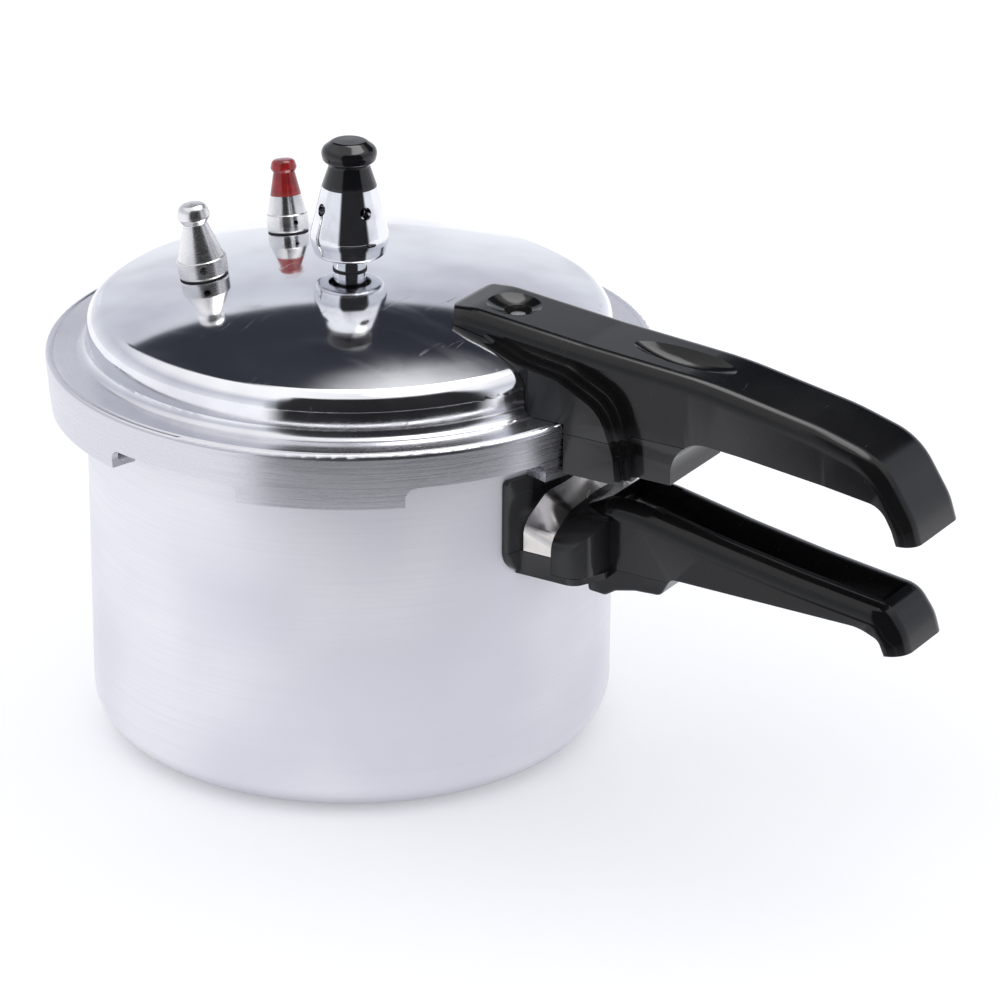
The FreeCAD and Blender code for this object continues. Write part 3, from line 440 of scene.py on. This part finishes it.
def dome_card(name, corners, colour, strength, soft_side, soft_low, soft_high):
    """Patch of a sphere round the object, whose edges fade over the soft widths in degrees."""
    outline = spread(corners)
    rows = []
    fades = []
    for az, low, high in outline:
        a = math.radians(az)
        side = ease(min(az - outline[0][0], outline[-1][0] - az), soft_side)
        row = []
        fade = []
        for k in range(CARD_ROWS + 1):
            deg = low + (high - low) * k / CARD_ROWS
            el = math.radians(deg)
            row.append((CARD_R * math.cos(el) * math.cos(a), CARD_R * math.cos(el) * math.sin(a),
                        CARD_Z + CARD_R * math.sin(el)))
            fade.append(side * ease(deg - low, soft_low) * ease(high - deg, soft_high))
        rows.append(row)
        fades.append(fade)
    fading_patch(name, rows, fades, colour, strength)


def floor_card(name, azimuths, radii, colour, strength, soft_deg, soft_near):
    """Ring sector lying on the floor, faded at its sides and its near edge."""
    across, out = TABLE_GRID
    az_low, az_high = azimuths
    near, far = radii
    rows = []
    fades = []
    for i in range(across + 1):
        az = az_low + (az_high - az_low) * i / across
        a = math.radians(az)
        side = ease(min(az - az_low, az_high - az), soft_deg)
        row = []
        fade = []
        for k in range(out + 1):
            r = near + (far - near) * k / out
            row.append((r * math.cos(a), r * math.sin(a), TABLE_Z))
            fade.append(side * ease(r - near, soft_near))
        rows.append(row)
        fades.append(fade)
    fading_patch(name, rows, fades, colour, strength)


def floor():
    """Plain pale table, a little self-lit so that it runs out to white."""
    h = FLOOR_HALF
    mesh = bpy.data.meshes.new("floor")
    mesh.from_pydata([(-h, -h, 0), (h, -h, 0), (h, h, 0), (-h, h, 0)], [], [(0, 1, 2, 3)])
    obj = bpy.data.objects.new("floor", mesh)
    obj.location.z = -FLOOR_GAP
    bpy.context.scene.collection.objects.link(obj)
    g = Graph("floor_white")
    tone = g.mix(g.noise(3.0), FLOOR_WHITE, FLOOR_SHADE)
    mesh.materials.append(g.surface(Base_Color=tone, Roughness=0.7, Specular_IOR_Level=0.1,
                                    Emission_Color=WHITE, Emission_Strength=FLOOR_GLOW))


def cards():
    """Flags and a softbox that only reflections show."""
    # dark panel above the backdrop, then the softbox overhead
    dome_card("panel_back", PANEL_BACK, BLACK_CARD, 1.0,
              soft_side=4.0, soft_low=0.8, soft_high=9.0)
    dome_card("softbox_top", SOFTBOX_TOP, SOFTBOX, SOFTBOX_STRENGTH,
              soft_side=8.0, soft_low=5.0, soft_high=6.0)
    # dark room behind the camera, and its reflection in the table
    dome_card("room_dark", ROOM_BEHIND, DARK_ROOM, 1.0,
              soft_side=10.0, soft_low=0.5, soft_high=8.0)
    floor_card("table_dark", TABLE_AZ, TABLE_R, DARK_ROOM, 1.0, soft_deg=10.0, soft_near=0.12)


def sky():
    """Soft light from all round: pale low down, greyer behind, white overhead."""
    world = bpy.data.worlds.new("studio")
    bpy.context.scene.world = world
    world.use_nodes = True
    tree = world.node_tree
    tree.nodes.clear()
    out = tree.nodes.new("ShaderNodeOutputWorld")
    back = tree.nodes.new("ShaderNodeBackground")
    coord = tree.nodes.new("ShaderNodeTexCoord")
    sep = tree.nodes.new("ShaderNodeSeparateXYZ")
    ramp = tree.nodes.new("ShaderNodeValToRGB")
    tree.links.new(coord.outputs["Generated"], sep.inputs[0])
    tree.links.new(sep.outputs[2], ramp.inputs[0])
    stops = ramp.color_ramp.elements
    stops[0].position = 0.0
    stops[0].color = SKY_LOW
    stops[1].position = SKY_HIGH_AT
    stops[1].color = SKY_HIGH
    band = stops.new(SKY_BAND_AT)
    band.color = SKY_BAND
    tree.links.new(ramp.outputs[0], back.inputs["Color"])
    back.inputs["Strength"].default_value = SKY_STRENGTH
    tree.links.new(back.outputs[0], out.inputs[0])


def camera():
    """Long lens at the photo's angle, everything in focus."""
    data = bpy.data.cameras.new("camera")
    data.lens = CAM_LENS
    data.sensor_width = CAM_SENSOR
    data.clip_end = CAM_FAR
    data.dof.use_dof = False
    obj = bpy.data.objects.new("camera", data)
    turn = (Matrix.Rotation(math.radians(CAM_AZIMUTH), 4, "Z")
            @ Matrix.Rotation(math.radians(90.0 - CAM_PITCH), 4, "X")
            @ Matrix.Rotation(math.radians(CAM_ROLL), 4, "Z"))
    obj.matrix_world = Matrix.Translation(Vector(CAM_AT)) @ turn
    bpy.context.scene.collection.objects.link(obj)
    bpy.context.scene.camera = obj
    bpy.context.scene.view_settings.view_transform = "Standard"


materials()
floor()
cards()
sky()
camera()
